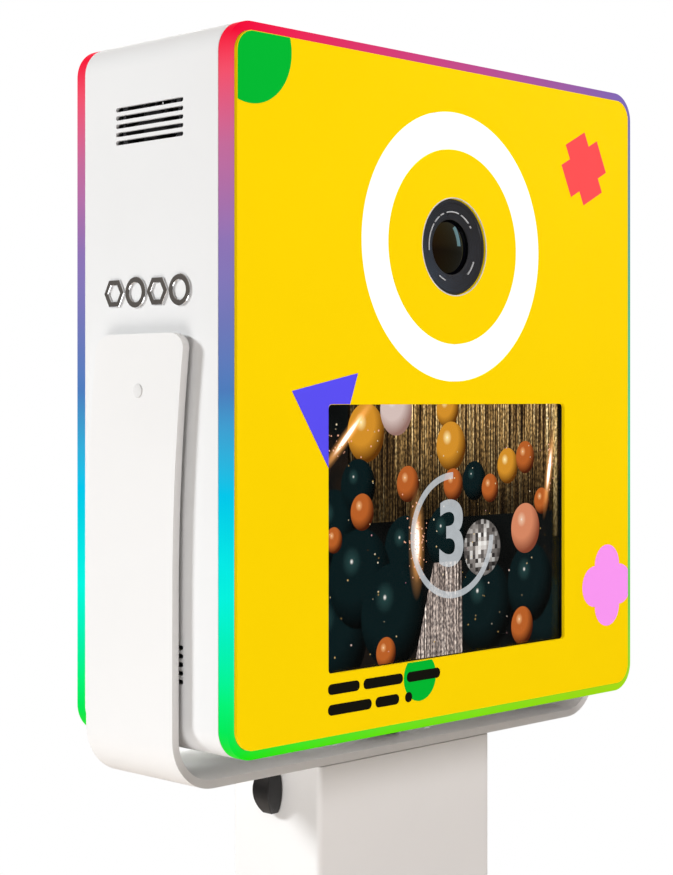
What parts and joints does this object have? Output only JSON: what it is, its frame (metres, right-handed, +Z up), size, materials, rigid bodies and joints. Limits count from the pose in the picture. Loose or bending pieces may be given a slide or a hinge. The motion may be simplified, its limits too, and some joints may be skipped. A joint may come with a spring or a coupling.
{
  "type": "photo booth",
  "caption": "Photo booth head with lens, ring light and touch screen, tilting in a U-shaped yoke on a column and base plate.",
  "frame": {"origin": "on the floor under the centre of the column, which is the centre of the base plate", "axes": "+Z up, the lens and screen face -Y, +X to the right as seen from the front"},
  "size_m": [0.4608, 0.36, 1.64],
  "materials": {
    "powder_white": "satin white powder coat",
    "shell_white": "satin white powder coat on sheet aluminium",
    "zinc_steel": "zinc plated",
    "black_rubber": "matt black",
    "black_plastic": "fine grain black",
    "panel_yellow": "satin print with coloured shapes",
    "lit_rim": "opal, lit in changing colours",
    "lit_ring": "opal, lit white",
    "aluminium": "mill",
    "bronze": "sintered",
    "chrome": "polished",
    "glass": "clear, coated",
    "screen": "lit picture under the glass",
    "board": "white solder mask with LEDs",
    "cap_white": "smooth white",
    "magnet": "nickel",
    "black_shelf": "black coated sheet"
  },
  "bodies": {
    "stand": {"base_plate": "powder_white", "rubber_feet": "black_rubber", "base_bolts": "zinc_steel", "column_sole": "zinc_steel", "column_shell": "powder_white", "column_cover": "powder_white", "outlet_grommet": "black_rubber", "column_top_plate": "powder_white", "column_socket": "zinc_steel", "clamp_nut": "zinc_steel"},
    "clamp_shoe": {"clamp_pad": "black_plastic"},
    "clamp_grip": {"clamp_knob": "black_plastic"},
    "yoke_body": {"yoke": "powder_white", "yoke_spigot": "zinc_steel", "yoke_bolts": "zinc_steel", "yoke_grommet": "black_rubber", "pivot_shafts": "zinc_steel", "pivot_nuts": "zinc_steel", "pivot_caps": "cap_white"},
    "zoom": {"zoom_ring": "black_rubber"},
    "moving_lens": {"lens_inner_barrel": "black_plastic", "front_element": "glass"},
    "focus": {"focus_ring": "black_rubber"},
    "fan": {"fan_rotor": "black_plastic"},
    "door": {"rear_door": "shell_white", "door_leaves": "zinc_steel"},
    "lock": {"door_lock": "chrome"},
    "rocker": {"switch_rocker": "black_plastic"},
    "head": {"head_shell": "shell_white", "head_grommet": "black_rubber", "front_rim_diffuser": "lit_rim", "rear_rim_diffuser": "lit_rim", "rim_strips": "board", "front_frame": "black_shelf", "rear_frame": "shell_white", "frame_screws": "zinc_steel", "front_panel": "panel_yellow", "panel_magnets": "magnet", "side_emblem": "chrome", "lens_plate": "panel_yellow", "ring_light_diffuser": "lit_ring", "ring_light_tray": "black_plastic", "ring_light_board": "board", "small_screws": "zinc_steel", "display_glass": "glass", "display_panel": "screen", "display_cradle": "black_shelf", "computer": "black_shelf", "power_supply": "aluminium", "led_controller": "black_plastic", "equipment_shelf": "black_shelf", "camera_screw": "zinc_steel", "camera_body": "black_plastic", "lens_barrel": "black_plastic", "pivot_bosses": "aluminium", "pivot_bushes": "bronze", "fan_frame": "black_plastic", "frame_leaves": "zinc_steel", "hinge_pins": "zinc_steel", "power_inlet": "black_plastic"}
  },
  "joints": [
    {"name": "yoke_lift", "type": "slide", "parent": "stand", "child": "yoke_body", "axis": [0, 0, 1], "range_m": [0, 0.16]},
    {"name": "clamp_press", "type": "slide", "parent": "stand", "child": "clamp_shoe", "axis": [-1, 0, 0], "range_m": [0, 0.002]},
    {"name": "clamp_turn", "type": "hinge", "parent": "clamp_shoe", "child": "clamp_grip", "pos_m": [-0.07, 0, 1.1126], "axis": [-1, 0, 0], "range_deg": [0, 576]},
    {"name": "head_tilt", "type": "hinge", "parent": "yoke_body", "child": "head", "pos_m": [0, -0.0103, 1.4], "axis": [1, 0, 0], "range_deg": [-20, 20]},
    {"name": "zoom_turn", "type": "hinge", "parent": "head", "child": "zoom", "pos_m": [0, -0.0488, 1.5047], "axis": [0, 1, 0], "range_deg": [0, 70]},
    {"name": "lens_extend", "type": "slide", "parent": "head", "child": "moving_lens", "axis": [0, -1, 0], "range_m": [0, 0.012]},
    {"name": "focus_turn", "type": "hinge", "parent": "moving_lens", "child": "focus", "pos_m": [0, -0.0763, 1.5047], "axis": [0, 1, 0], "range_deg": [0, 120]},
    {"name": "fan_spin", "type": "hinge", "parent": "head", "child": "fan", "pos_m": [-0.211, -0.0103, 1.5805], "axis": [1, 0, 0], "continuous": true},
    {"name": "door_swing", "type": "hinge", "parent": "head", "child": "door", "pos_m": [0.1755, 0.0742, 1.435], "axis": [0, 0, -1], "range_deg": [0, 110]},
    {"name": "lock_turn", "type": "hinge", "parent": "door", "child": "lock", "pos_m": [-0.157, 0.0682, 1.435], "axis": [0, 1, 0], "range_deg": [-90, 0]},
    {"name": "switch_rock", "type": "hinge", "parent": "head", "child": "rocker", "pos_m": [-0.105, 0.0672, 1.215], "axis": [1, 0, 0], "range_deg": [-8, 8]}
  ],
  "couplings": [
    {"joint": "clamp_turn", "follows": "clamp_press", "rad_per_m": 5026.5},
    {"joint": "lens_extend", "follows": "zoom_turn", "m_per_rad": 0.00982}
  ]
}
